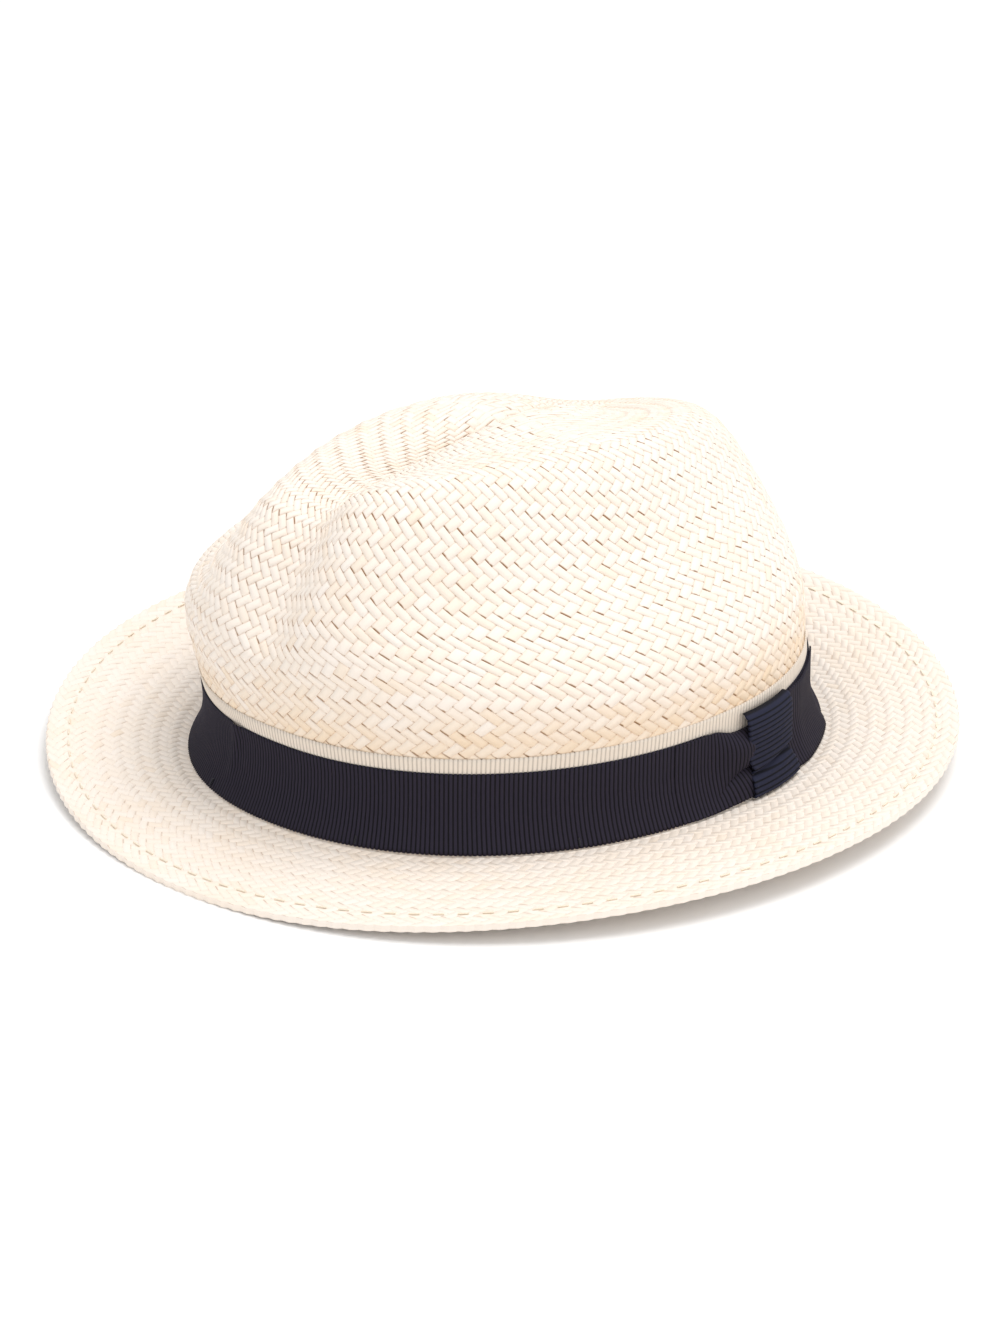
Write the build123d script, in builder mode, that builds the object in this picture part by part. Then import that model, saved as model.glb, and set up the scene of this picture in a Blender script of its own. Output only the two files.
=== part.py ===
from build123d import *
import os
from dataclasses import dataclass
from math import atan2, cos, degrees, exp, pi, radians, sin

# Straw trilby, millimetres. +Z is up, the wearer faces -Y and the wearer's left is +X.
# The hat stands on its brim, with the origin on the ground under the middle of the brim.
# Angles run round the crown: 0 is the wearer's left, 90 the back and -90 the front.

# Head oval, measured on the outside of the straw under the hatband
HALF_LENGTH = 100.0
HALF_WIDTH = 84.2
FRONT_TAPER = 0.06       # the oval is this much narrower at the front, wider at the back
SQUARENESS = 2.1         # 2 is a plain ellipse
OVAL_CENTRE_Y = 2.0      # centres the brim on the origin

# Straw hood
STRAW = 1.3              # thickness of the woven straw
HEM_THICKNESS = 2.0      # the brim's edge is turned under, so it is thicker
HEM_WIDTH = 7.0
BRIM_WIDTH = 49.0        # mean width, from the crown to the brim's edge
BRIM_FLARE = 5.5         # how far the foot of the crown curves out into the brim
FLARE_HEIGHT = 16.0
RING_POINTS = 48         # points in each ring that the hood is lofted through

# Ribbons
RIBBON = 0.45            # thickness of grosgrain ribbon
GAP = 0.15               # air between layers of cloth
BAND_WIDTH = 24.0        # navy ribbon, up the crown
UNDERLAY_WIDTH = 29.0    # cream ribbon below it, which shows above
BAND_FOOT = 1.0          # lower edge of both ribbons above the crown's foot

# Bow on the wearer's left, as angles round the crown
FRONT_WING = (-6.0, 12.8)
REAR_WING = (13.2, 42.0)
KEEPER = (6.5, 20.0)
WING_THICKNESS = 0.6
KEEPER_THICKNESS = 1.2
KEEPER_HEIGHT = 26.5

# Sweatband and its fittings
SWEATBAND = 0.8          # thickness
SWEATBAND_HEIGHT = 32.0
SWEATBAND_LEAN = 3.0     # how far its top edge leans in from the crown
REED_FOOT = 1.4          # underside of the reed above the crown's foot
REED_RADIUS = 0.9
REED_SIDES = 12
TAPE = 0.25              # thickness of the reed tape
TAPE_HEIGHT = 9.0
LABEL_WIDTH = 14.0
LABEL_HEIGHT = 10.0
LABEL_THICKNESS = 0.3
LABEL_ANGLE = 66.0
LABEL_FOOT = 12.0        # lower edge above the sweatband's foot

# Thread
THREAD_RADIUS = 0.25
THREAD_LIFT = 0.1        # air under a stitch
HEM_STITCHES = 120
HEM_STITCH_LENGTH = 3.2
SWEATBAND_STITCHES = 110
SWEATBAND_STITCH_LENGTH = 3.0
BACK_STITCH_PAIRS = 8
BACK_STITCH_WIDTH = 5.0
SEAM_HEIGHT = 1.5        # stitch row above the sweatband's foot
TACK_ANGLES = (-150, -110, -70, -30, 60, 100, 140)
TACK_LENGTH = 2.4


@dataclass
class Ring:
    """One level ring round the crown, an oval with its own half lengths and a height
    that rises towards the back and the left. The groove is the pinch at the front."""

    share: float                # how far up the crown, from 0 at the hatband to 1 at the tip
    front: float
    back: float
    side: float
    height: float
    lean: float                 # tilt of the surface: 0 faces outwards, 90 faces up
    taper: float = 0.0
    centre_x: float = 0.0
    centre_y: float = 0.0
    rise_back: float = 0.0
    rise_left: float = 0.0
    saddle: float = 0.0         # raises left and right, lowers front and back
    groove_in: float = 0.0
    groove_down: float = 0.0
    groove_width: float = 12.0  # degrees


CROWN_RINGS = [
    Ring(share=0, front=100, back=100, side=84.2, height=26.8, lean=0, taper=FRONT_TAPER,
         rise_back=-2),
    Ring(share=0.22, front=104.5, back=97.5, side=86, height=54.8, lean=6, taper=0.03,
         centre_x=-1.8, centre_y=-1.5, rise_back=-1, saddle=1, groove_in=1.5),
    Ring(share=0.44, front=105.5, back=88, side=65, height=77.8, lean=38, taper=0.02,
         centre_x=-3.5, centre_y=-2, rise_back=3.5, rise_left=6, saddle=-1.5, groove_in=7.5,
         groove_down=10, groove_width=13),
    Ring(share=0.6, front=91.5, back=70.5, side=47.5, height=97, lean=62, centre_x=-2.5,
         rise_back=-6.5, rise_left=13, saddle=-2, groove_in=10.5, groove_down=11.5,
         groove_width=16),
    Ring(share=0.72, front=71, back=52, side=29, height=102.5, lean=90, centre_x=-7.5,
         rise_back=-6, rise_left=3.5, saddle=3, groove_in=7.5, groove_down=8.5, groove_width=22),
    Ring(share=0.86, front=39.5, back=34, side=9, height=102, lean=95, centre_x=-6, centre_y=4,
         rise_back=-2, rise_left=2.5, saddle=3.5, groove_in=2, groove_down=4, groove_width=28),
    Ring(share=1, front=4, back=4, side=2, height=95, lean=90, centre_x=-5, centre_y=8),
]
CROWN_LEVELS = 14


def oval(angle):
    """Unit position on the head oval, a little squarer than an ellipse."""
    c, s = cos(radians(angle)), sin(radians(angle))
    scale = (abs(c) ** SQUARENESS + abs(s) ** SQUARENESS) ** (-1 / SQUARENESS)
    return c * scale, s * scale


def head_point(angle, outward=0.0):
    """Point on the head oval, moved outwards square to it."""
    def on_oval(at):
        c, s = oval(at)
        return HALF_WIDTH * (1 + FRONT_TAPER * sin(radians(at))) * c, HALF_LENGTH * s

    x, y = on_oval(angle)
    ahead, behind = on_oval(angle + 0.5), on_oval(angle - 0.5)
    along = Vector(ahead[0] - behind[0], ahead[1] - behind[1]).normalized()
    return Vector(x + along.Y * outward, y - along.X * outward + OVAL_CENTRE_Y)


def foot_height(angle):
    """Height of the crown's foot, where the brim starts: high at the front, low at the back."""
    return 3.7 - 3.0 * sin(radians(angle)) - 0.8 * cos(radians(2 * angle))


def flare(above):
    """How far the crown's wall stands out at a height above its foot."""
    return BRIM_FLARE * max(0.0, 1 - above / FLARE_HEIGHT) ** 2


def wall_point(angle, outward, above):
    """Point on the straight lower wall, moved outwards from the straw's outer face."""
    p = head_point(angle, flare(above) + outward)
    return Vector(p.X, p.Y, foot_height(angle) + above)


def brim_width(angle):
    return BRIM_WIDTH - 2.0 * sin(radians(angle)) + 5.5 * cos(radians(2 * angle))


def brim_edge_height(angle):
    """Height of the brim's edge: snapped down to the ground at the front, up at the back."""
    s, cos_two, sin_three = sin(radians(angle)), cos(radians(2 * angle)), sin(radians(3 * angle))
    return 9.3 + 4.8 * s + 0.6 * cos_two - 1.9 * sin_three


def brim_point(angle, along, lower=0.0):
    """Point on the brim's upper face, with along 0 at the crown's foot and 1 at the edge."""
    outward = BRIM_FLARE + (brim_width(angle) - BRIM_FLARE) * along
    rise = brim_edge_height(angle) - foot_height(angle)
    p = head_point(angle, outward)
    return Vector(p.X, p.Y, foot_height(angle) + rise * along - lower)


def crown_point(ring, angle, inside=0.0):
    """Point on a crown ring, or on the ring's inner face when inside is the straw's thickness."""
    c, s = oval(angle)
    half_length = (ring.front + ring.back) / 2 + (ring.back - ring.front) / 2 * sin(radians(angle))
    x = ring.centre_x + ring.side * (1 + ring.taper * sin(radians(angle))) * c
    y = ring.centre_y + OVAL_CENTRE_Y + half_length * s
    z = ring.height + ring.rise_back * s + ring.rise_left * c + ring.saddle * cos(radians(2 * angle))
    from_front = degrees(atan2(sin(radians(angle + 90)), cos(radians(angle + 90))))
    groove = exp(-(from_front / ring.groove_width) ** 2)
    y += ring.groove_in * groove
    z -= ring.groove_down * groove
    centre = Vector(ring.centre_x, ring.centre_y + OVAL_CENTRE_Y)
    inwards = (centre - Vector(x, y)).normalized() * inside * cos(radians(ring.lean))
    return Vector(x + inwards.X, y + inwards.Y, z - inside * sin(radians(ring.lean)))


def crown_level(share, angle, inside=0.0):
    """Point between the crown rings, on a smooth curve through them from hatband to tip."""
    last = len(CROWN_RINGS) - 1
    i = max(k for k in range(last) if CROWN_RINGS[k].share <= share)
    picks = [max(i - 1, 0), i, i + 1, min(i + 2, last)]
    before, start, end, after = (CROWN_RINGS[k] for k in picks)
    p0, p1, p2, p3 = (crown_point(CROWN_RINGS[k], angle, inside) for k in picks)
    span = end.share - start.share
    u = (share - start.share) / span
    slope_start = (p2 - p0) * (span / (end.share - before.share))
    slope_end = (p3 - p1) * (span / (after.share - start.share))
    point = p1 * (2 * u**3 - 3 * u**2 + 1) + slope_start * (u**3 - 2 * u**2 + u)
    return point + p2 * (3 * u**2 - 2 * u**3) + slope_end * (u**3 - u**2)


def ring_wire(point_at):
    """Closed smooth wire through points taken all round the hat."""
    points = [point_at(360 * i / RING_POINTS) for i in range(RING_POINTS)]
    with BuildLine() as line:
        Spline(*points, periodic=True)
    return line.wire()


def closed_solid(faces):
    return Solid(Shell(ShapeList(faces)))


def carried_round(section):
    """Solid made by carrying a closed section round the crown's lower wall.
    Each section point is (outward from the straw's outer face, height above the foot)."""
    wires = [ring_wire(lambda angle, p=p: wall_point(angle, p[0], p[1])) for p in section]
    faces = []
    for wire, following in zip(wires, wires[1:] + wires[:1]):
        faces += Shell.make_loft([wire, following], ruled=True).faces()
    return closed_solid(faces)


def strip_section(inner, thickness, bottom, top, steps=6):
    """Section of a ribbon that lies on the wall: up its outer face and down its inner one."""
    heights = [bottom + (top - bottom) * i / steps for i in range(steps + 1)]
    outer_face = [(inner + thickness, h) for h in heights]
    inner_face = [(inner, h) for h in reversed(heights)]
    return outer_face + inner_face


def wall_patch(start, end, inner, thickness, bottom, top, steps=6):
    """Solid lofted along the wall between two angles, a cloth piece of the bow."""
    heights = [bottom + (top - bottom) * i / steps for i in range(steps + 1)]
    with BuildPart() as patch:
        for i in range(steps + 1):
            angle = start + (end - start) * i / steps
            origin = wall_point(angle, 0, 0)
            outwards = head_point(angle, 1) - head_point(angle, 0)
            across = Vector(outwards.X, outwards.Y, 0)
            plane = Plane(origin=origin, x_dir=across, z_dir=across.cross(Vector(0, 0, 1)))
            outer = [(flare(h) - flare(0) + inner + thickness, h) for h in heights]
            returning = [(flare(h) - flare(0) + inner, h) for h in reversed(heights)]
            with BuildSketch(plane):
                with BuildLine():
                    Polyline(*outer, *returning, close=True)
                make_face()
        loft()
    return patch.part


def stitch(centre, direction, length):
    """One straight thread stitch, a short round bar."""
    with BuildPart() as bar:
        with BuildSketch(Plane(origin=centre - direction * (length / 2), z_dir=direction)):
            Circle(THREAD_RADIUS)
        extrude(amount=length)
    return bar.part


def direction_round(point_at, angle):
    """Unit vector along a line that runs round the hat."""
    return (point_at(angle + 0.5) - point_at(angle - 0.5)).normalized()


# --- Straw hood: crown and brim woven in one piece, with the brim's edge turned under ---

def hem_along(angle):
    return 1 - HEM_WIDTH / (brim_width(angle) - BRIM_FLARE)


def straw_face(brim_rings, inside, foot_rise):
    """Faces of one side of the straw, from the brim up the crown's wall and over its top.
    The lowest wall ring, foot_rise above the foot, rounds the corner between the two."""
    heights = (foot_rise, 6, 12)
    wall = [ring_wire(lambda a, h=h: wall_point(a, -inside, h)) for h in heights]
    shares = [k / CROWN_LEVELS for k in range(CROWN_LEVELS + 1)]
    crown = [ring_wire(lambda a, s=s: crown_level(s, a, inside)) for s in shares]
    faces = Shell.make_loft(brim_rings).faces()
    faces += Shell.make_loft(brim_rings[-1:] + wall + crown[:1]).faces()
    faces += Shell.make_loft(crown).faces()
    return faces + [Face(crown[-1])]


# The hem's step leans a little, so its lower ring lies just inside the hem's own edge
upper_brim = [ring_wire(lambda a, k=k: brim_point(a, k)) for k in (1.0, 0.5, 0.1)]
lower_brim = [
    ring_wire(lambda a: brim_point(a, 0.98 * hem_along(a), STRAW)),
    ring_wire(lambda a: brim_point(a, 0.5, STRAW)),
    ring_wire(lambda a: brim_point(a, 0.06, STRAW)),
]
outer_faces = straw_face(upper_brim, inside=0, foot_rise=1.5)
inner_faces = straw_face(lower_brim, inside=STRAW, foot_rise=0.6)
hem_outer = ring_wire(lambda a: brim_point(a, 1.0, HEM_THICKNESS))
hem_inner = ring_wire(lambda a: brim_point(a, hem_along(a), HEM_THICKNESS))
hem_faces = []
for edges in ([upper_brim[0], hem_outer], [hem_outer, hem_inner], [hem_inner, lower_brim[0]]):
    hem_faces += Shell.make_loft(edges, ruled=True).faces()
with BuildPart() as straw_hood:
    add(closed_solid(outer_faces + inner_faces + hem_faces))

# --- Ribbons round the crown ---

with BuildPart() as hatband_underlay:
    add(carried_round(strip_section(GAP, RIBBON, BAND_FOOT, BAND_FOOT + UNDERLAY_WIDTH)))

band_inner = 2 * GAP + RIBBON
with BuildPart() as hatband:
    add(carried_round(strip_section(band_inner, RIBBON, BAND_FOOT, BAND_FOOT + BAND_WIDTH)))

# --- Bow: two ribbon ends that meet under a narrow loop ---

wing_inner = band_inner + RIBBON + GAP
with BuildPart() as bow_front_wing:
    add(wall_patch(*FRONT_WING, wing_inner, WING_THICKNESS, BAND_FOOT, BAND_FOOT + BAND_WIDTH))

with BuildPart() as bow_rear_wing:
    add(wall_patch(*REAR_WING, wing_inner, WING_THICKNESS, BAND_FOOT, BAND_FOOT + BAND_WIDTH))

keeper_inner = wing_inner + WING_THICKNESS + GAP
with BuildPart() as bow_keeper:
    add(wall_patch(*KEEPER, keeper_inner, KEEPER_THICKNESS, BAND_FOOT, BAND_FOOT + KEEPER_HEIGHT))

# --- Sweatband, reed and reed tape inside the crown's foot ---

tape_outer = -STRAW - GAP
sweatband_outer = tape_outer - TAPE - GAP
sweatband_foot = REED_FOOT + 2 * REED_RADIUS + TAPE


def sweatband_section(steps=6):
    """Section of the sweatband: level with the tape at its foot and leaning in at its top."""
    outer_face = []
    inner_face = []
    for i in range(steps + 1):
        share = i / steps
        above = sweatband_foot + SWEATBAND_HEIGHT * share
        outward = sweatband_outer - flare(above) - SWEATBAND_LEAN * share ** 2
        outer_face.append((outward, above))
        inner_face.append((outward - SWEATBAND, above))
    return outer_face + inner_face[::-1]


with BuildPart() as sweatband:
    add(carried_round(sweatband_section()))

reed_centre = (tape_outer - TAPE - GAP - REED_RADIUS, REED_FOOT + REED_RADIUS)
reed_section = []
for step in range(REED_SIDES):
    turn = 2 * pi * step / REED_SIDES
    above = reed_centre[1] + REED_RADIUS * sin(turn)
    reed_section.append((reed_centre[0] + REED_RADIUS * cos(turn) - flare(above), above))
with BuildPart() as sweatband_reed:
    add(carried_round(reed_section))

tape_foot = REED_FOOT - GAP - TAPE
tape_inner = reed_centre[0] - REED_RADIUS - GAP
tape_section = [
    (tape_outer, tape_foot),
    (tape_outer, TAPE_HEIGHT),
    (tape_outer - TAPE, TAPE_HEIGHT),
    (tape_outer - TAPE, tape_foot + TAPE),
    (tape_inner, tape_foot + TAPE),
    (tape_inner, sweatband_foot - GAP),
    (tape_inner - TAPE, sweatband_foot - GAP),
    (tape_inner - TAPE, tape_foot),
]
with BuildPart() as reed_tape:
    add(carried_round([(outward - flare(above), above) for outward, above in tape_section]))


def sweatband_inner_point(angle, above, inwards):
    share = (above - sweatband_foot) / SWEATBAND_HEIGHT
    outward = sweatband_outer - SWEATBAND - SWEATBAND_LEAN * share ** 2 - inwards
    return wall_point(angle, outward - flare(above), above)


# --- Blank size label, on the sweatband towards the back ---

label_half = degrees(LABEL_WIDTH / 2 / HALF_LENGTH)
label_foot = sweatband_foot + LABEL_FOOT
with BuildPart() as size_label:
    for i in range(5):
        angle = LABEL_ANGLE + label_half * (i - 2) / 2
        origin = sweatband_inner_point(angle, label_foot, GAP + LABEL_THICKNESS / 2)
        outwards = head_point(angle, 1) - head_point(angle, 0)
        upwards = sweatband_inner_point(angle, label_foot + LABEL_HEIGHT, GAP) - origin
        plane = Plane(origin=origin, x_dir=upwards, z_dir=outwards.cross(upwards))
        with BuildSketch(plane):
            Rectangle(LABEL_HEIGHT, LABEL_THICKNESS, align=(Align.MIN, Align.CENTER))
    loft()

# --- Thread: each row of stitches is one node ---

with BuildPart() as brim_hem_stitches:
    for i in range(HEM_STITCHES):
        angle = 360 * i / HEM_STITCHES
        centre = brim_point(angle, hem_along(angle), lower=-THREAD_RADIUS - THREAD_LIFT)
        along = direction_round(lambda a: brim_point(a, hem_along(a)), angle)
        add(stitch(centre, along, HEM_STITCH_LENGTH))

seam_height = sweatband_foot + SEAM_HEIGHT
with BuildPart() as sweatband_stitches:
    for i in range(SWEATBAND_STITCHES):
        angle = 360 * i / SWEATBAND_STITCHES
        centre = sweatband_inner_point(angle, seam_height, THREAD_RADIUS + THREAD_LIFT)
        along = direction_round(lambda a: sweatband_inner_point(a, seam_height, 0), angle)
        add(stitch(centre, along, SWEATBAND_STITCH_LENGTH))

# The sweatband's ends meet at the back, where a V of two stitches repeats up the join
with BuildPart() as sweatband_back_stitches:
    lift = THREAD_RADIUS + THREAD_LIFT
    pitch = (SWEATBAND_HEIGHT - 4) / BACK_STITCH_PAIRS
    half_angle = degrees(BACK_STITCH_WIDTH / 2 / HALF_WIDTH)
    for i in range(BACK_STITCH_PAIRS):
        low = seam_height + 2 * THREAD_RADIUS + 1.2 + pitch * i
        high = low + 0.7 * pitch
        for side in (-1, 1):
            start = sweatband_inner_point(90 + side * half_angle, low, lift)
            end = sweatband_inner_point(90 + side * 0.15 * half_angle, high, lift)
            add(stitch((start + end) / 2, (end - start).normalized(), (end - start).length))

with BuildPart() as hatband_tacks:
    for angle in TACK_ANGLES:
        outward = wing_inner + THREAD_RADIUS
        low = wall_point(angle, outward, BAND_FOOT + 2 * THREAD_RADIUS)
        high = wall_point(angle, outward, BAND_FOOT + 2 * THREAD_RADIUS + TACK_LENGTH)
        add(stitch((low + high) / 2, (high - low).normalized(), TACK_LENGTH))

# --- Write one STEP file for each piece ---

pieces = {
    "straw_hood": straw_hood,
    "brim_hem_stitches": brim_hem_stitches,
    "hatband_underlay": hatband_underlay,
    "hatband": hatband,
    "hatband_tacks": hatband_tacks,
    "bow_front_wing": bow_front_wing,
    "bow_rear_wing": bow_rear_wing,
    "bow_keeper": bow_keeper,
    "sweatband": sweatband,
    "sweatband_reed": sweatband_reed,
    "reed_tape": reed_tape,
    "sweatband_stitches": sweatband_stitches,
    "sweatband_back_stitches": sweatband_back_stitches,
    "size_label": size_label,
}
os.makedirs("parts", exist_ok=True)
for name, piece in pieces.items():
    piece.part.label = name
    export_step(piece.part, f"parts/{name}.step")
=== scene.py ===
import math

import bpy
import numpy as np
from bpy.props import FloatProperty, FloatVectorProperty, IntProperty, PointerProperty
from mathutils import Matrix, Vector


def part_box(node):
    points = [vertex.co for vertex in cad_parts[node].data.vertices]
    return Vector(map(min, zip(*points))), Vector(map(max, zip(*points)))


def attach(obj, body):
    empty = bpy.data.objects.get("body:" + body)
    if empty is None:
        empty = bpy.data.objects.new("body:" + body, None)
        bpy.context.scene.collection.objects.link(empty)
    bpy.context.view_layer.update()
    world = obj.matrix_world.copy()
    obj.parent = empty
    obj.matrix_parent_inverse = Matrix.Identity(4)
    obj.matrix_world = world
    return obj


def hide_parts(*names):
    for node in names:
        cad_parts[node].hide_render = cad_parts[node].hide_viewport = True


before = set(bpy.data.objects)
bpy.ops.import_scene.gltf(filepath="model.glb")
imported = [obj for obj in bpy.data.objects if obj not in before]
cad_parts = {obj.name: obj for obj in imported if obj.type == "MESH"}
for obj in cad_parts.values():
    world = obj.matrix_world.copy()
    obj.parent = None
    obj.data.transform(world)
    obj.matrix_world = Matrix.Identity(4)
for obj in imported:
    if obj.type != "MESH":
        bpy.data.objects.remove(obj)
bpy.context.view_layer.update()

bl_info = {
    "name": "Straw fedora",
    "version": (1, 0, 0),
    "blender": (4, 5, 0),
    "location": "View3D > Sidebar > Hat",
    "description": "Weaves a straw fedora with its ribbons, bow and sweatband around the CAD frame",
    "category": "Add Mesh",
}

# Everything is in metres in the hat's own frame: +Z up, the wearer faces -Y, their left is +X.
# A turn runs round the hat: 0 is the wearer's left, 0.25 the back and 0.75 the front.
MM = 0.001
TAU = 2 * math.pi

# The head oval and the blocked shape, as the CAD has them
HALF_LENGTH = 100 * MM
HALF_WIDTH = 84.2 * MM
FRONT_TAPER = 0.06
SQUARENESS = 2.1
OVAL_CENTRE_Y = 2 * MM
OVAL_LENGTH = TAU * math.sqrt((HALF_LENGTH**2 + HALF_WIDTH**2) / 2)
BRIM_WIDTH = 49 * MM
BRIM_FLARE = 5.5 * MM
FLARE_HEIGHT = 16 * MM
STRAW = 1.3 * MM
HEM_THICKNESS = 2 * MM
HEM_WIDTH = 7 * MM
GAP = 0.15 * MM
RIBBON = 0.45 * MM
BAND_FOOT = 1 * MM
BAND_WIDTH = 24 * MM
UNDERLAY_WIDTH = 29 * MM
BOW_BASE = 3 * GAP + 2 * RIBBON
LOOP_HEIGHT = 26.5 * MM
SWEATBAND = 0.8 * MM
SWEATBAND_HEIGHT = 32 * MM
SWEATBAND_LEAN = 3 * MM
SWEATBAND_FOOT = 3.45 * MM
TAPE = 0.25 * MM
TAPE_WIDTH = 10.5 * MM
TAPE_HEIGHT = 9 * MM
REED_FOOT = 1.4 * MM
REED_RADIUS = 0.9 * MM
LABEL = 0.3 * MM
LABEL_WIDTH = 14 * MM
LABEL_HEIGHT = 10 * MM
LABEL_FOOT = 12 * MM
COLUMNS = 720

# Rings of the crown from hatband to tip, lengths in millimetres, each an oval with a share
# of the way up, its half lengths, its height and how that rises towards the back and left.
# The groove is the pinch at the front.
RING_FIELDS = (
    "share", "front", "back", "side", "height", "taper", "centre_x", "centre_y",
    "rise_back", "rise_left", "saddle", "groove_in", "groove_down", "groove_width",
)
CROWN_RINGS = (
    (0, 100, 100, 84.2, 26.8, 0.06, 0, 0, -2, 0, 0, 0, 0, 12),
    (0.22, 104.5, 97.5, 86, 54.8, 0.03, -1.8, -1.5, -1, 0, 1, 1.5, 0, 12),
    (0.44, 105.5, 88, 65, 77.8, 0.02, -3.5, -2, 3.5, 6, -1.5, 7.5, 10, 13),
    (0.6, 91.5, 70.5, 47.5, 97, 0, -2.5, 0, -6.5, 13, -2, 10.5, 11.5, 16),
    (0.72, 71, 52, 29, 102.5, 0, -7.5, 0, -6, 3.5, 3, 7.5, 8.5, 22),
    (0.86, 39.5, 34, 9, 102, 0, -6, 4, -2, 2.5, 3.5, 2, 4, 28),
    (1, 4, 4, 2, 95, 0, -5, 8, 0, 0, 0, 0, 0, 12),
)


def linear(hex_colour):
    """sRGB hex colour to linear RGBA."""
    parts = [int(hex_colour[i:i + 2], 16) / 255 for i in (1, 3, 5)]
    return [c / 12.92 if c <= 0.04045 else ((c + 0.055) / 1.055) ** 2.4 for c in parts] + [1.0]


def length(name, description, millimetres):
    """A length property, its default given in millimetres."""
    return FloatProperty(
        name=name, description=description, default=millimetres * MM, unit="LENGTH", precision=5)


def colour(name, description, hex_colour):
    """A colour property, its default given as sRGB hex."""
    return FloatVectorProperty(
        name=name, description=description, default=linear(hex_colour), size=4, subtype="COLOR",
        min=0, max=1)


class StrawSettings(bpy.types.PropertyGroup):
    """Sizes and colours of the woven straw."""

    crown_rows: IntProperty(
        name="Crown rows", description="Rows of crossings from tip to hatband, an odd number", default=99)
    crown_strips: IntProperty(
        name="Crown strips", default=124,
        description="Crossings round the crown, twelve more than a multiple of sixteen")
    brim_rows: IntProperty(
        name="Brim rows", description="Rows of crossings across the brim, an even number", default=34)
    brim_strips: IntProperty(name="Brim strips", description="Crossings round the brim", default=184)
    arch: length("Arch", "How far a strip bows out between the two places where it dips under", 0.13)
    groove: length("Groove", "Depth of the groove between strips", 0.17)
    ridge: length("Ridge", "Height of the rings where the weave turns", 0.16)
    lit: colour("Straw", "Bleached paper straw", "#f8eee4")
    # The warm colour serves the darker strips and also the painted warm shade just over the hatband
    warm: colour("Warm straw", "The darker strips", "#f2d9b9")
    gap: colour("Gap", "Shadowed gap between strips", "#94683c")


class RibbonSettings(bpy.types.PropertyGroup):
    """Sizes and colours of the ribbons."""

    rib_pitch: length("Rib pitch", "Grosgrain rib to rib", 1.35)
    rib_relief: length("Rib relief", "Height of a rib over its valleys", 0.26)
    navy: colour("Navy", "Hatband grosgrain", "#292533")
    navy_loop: colour("Loop navy", "Bow loop grosgrain, a bluer roll", "#232539")
    cream: colour("Cream", "Underlay grosgrain", "#ece0d2")


class LiningSettings(bpy.types.PropertyGroup):
    """Colours of the sweatband and its fittings."""

    sweatband: colour("Sweatband", "Twill tape sweatband", "#20202a")
    tape: colour("Reed tape", "Cotton tape over the reed", "#d8cfc0")
    label: colour("Label", "Woven satin label", "#ece8dd")


# --- The blocked shape ---

def oval(turn):
    """Unit oval a little squarer than an ellipse: cosine and sine scaled onto a superellipse."""
    c, s = np.cos(TAU * turn), np.sin(TAU * turn)
    scale = (np.abs(c) ** SQUARENESS + np.abs(s) ** SQUARENESS) ** (-1 / SQUARENESS)
    return c * scale, s * scale


def head_oval(turn, outward):
    """The head oval moved outwards square to itself, as x and y."""
    def at(t):
        c, s = oval(t)
        return HALF_WIDTH * (1 + FRONT_TAPER * np.sin(TAU * t)) * c, HALF_LENGTH * s + OVAL_CENTRE_Y

    x, y = at(turn)
    (xa, ya), (xb, yb) = at(turn + 0.001), at(turn - 0.001)
    run = np.hypot(xa - xb, ya - yb)
    return x + (ya - yb) / run * outward, y - (xa - xb) / run * outward


def foot_height(turn):
    """Height of the crown's foot: high at the front and low at the back."""
    return (3.7 - 3 * np.sin(TAU * turn) - 0.8 * np.cos(2 * TAU * turn)) * MM


def flare(above):
    """How far the wall stands out near its foot: a parabola that ends at the flare's height."""
    return BRIM_FLARE * np.clip(1 - above / FLARE_HEIGHT, 0, None) ** 2


def wall(turn, outward, above):
    """Points on the lower wall, moved outwards from the straw, at heights above its foot."""
    turn, outward, above = np.broadcast_arrays(turn, outward, above)
    x, y = head_oval(turn, flare(above) + outward)
    return np.stack([x, y, foot_height(turn) + above], -1)


def brim(turn, along, lower=0.0):
    """Points on the brim's upper face: straight from the crown's foot at 0 to the edge at 1."""
    turn, along = np.broadcast_arrays(turn, along)
    s, c2, s3 = np.sin(TAU * turn), np.cos(2 * TAU * turn), np.sin(3 * TAU * turn)
    width = BRIM_WIDTH + (5.5 * c2 - 2 * s) * MM
    edge = (9.3 + 4.8 * s + 0.6 * c2 - 1.9 * s3) * MM
    x, y = head_oval(turn, BRIM_FLARE + (width - BRIM_FLARE) * along)
    foot = foot_height(turn)
    return np.stack([x, y, foot + (edge - foot) * along - lower], -1)


def crown_ring(ring, turn):
    """One ring: a tapered oval whose height follows sine and cosine, with a bell-shaped pinch
    pushed in and down at the front."""
    r = dict(zip(RING_FIELDS, ring))
    c, s = oval(turn)
    wave = np.sin(TAU * turn)
    half_length = (r["front"] + r["back"]) / 2 + (r["back"] - r["front"]) / 2 * wave
    x = r["centre_x"] + r["side"] * (1 + r["taper"] * wave) * c
    y = r["centre_y"] + OVAL_CENTRE_Y / MM + half_length * s
    z = r["height"] + r["rise_back"] * s + r["rise_left"] * c + r["saddle"] * np.cos(2 * TAU * turn)
    from_front = ((turn + 0.25 + 0.5) % 1 - 0.5) * 360
    pinch = np.exp(-(from_front / r["groove_width"]) ** 2)
    return np.stack([x, y + r["groove_in"] * pinch, z - r["groove_down"] * pinch], -1) * MM


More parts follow.
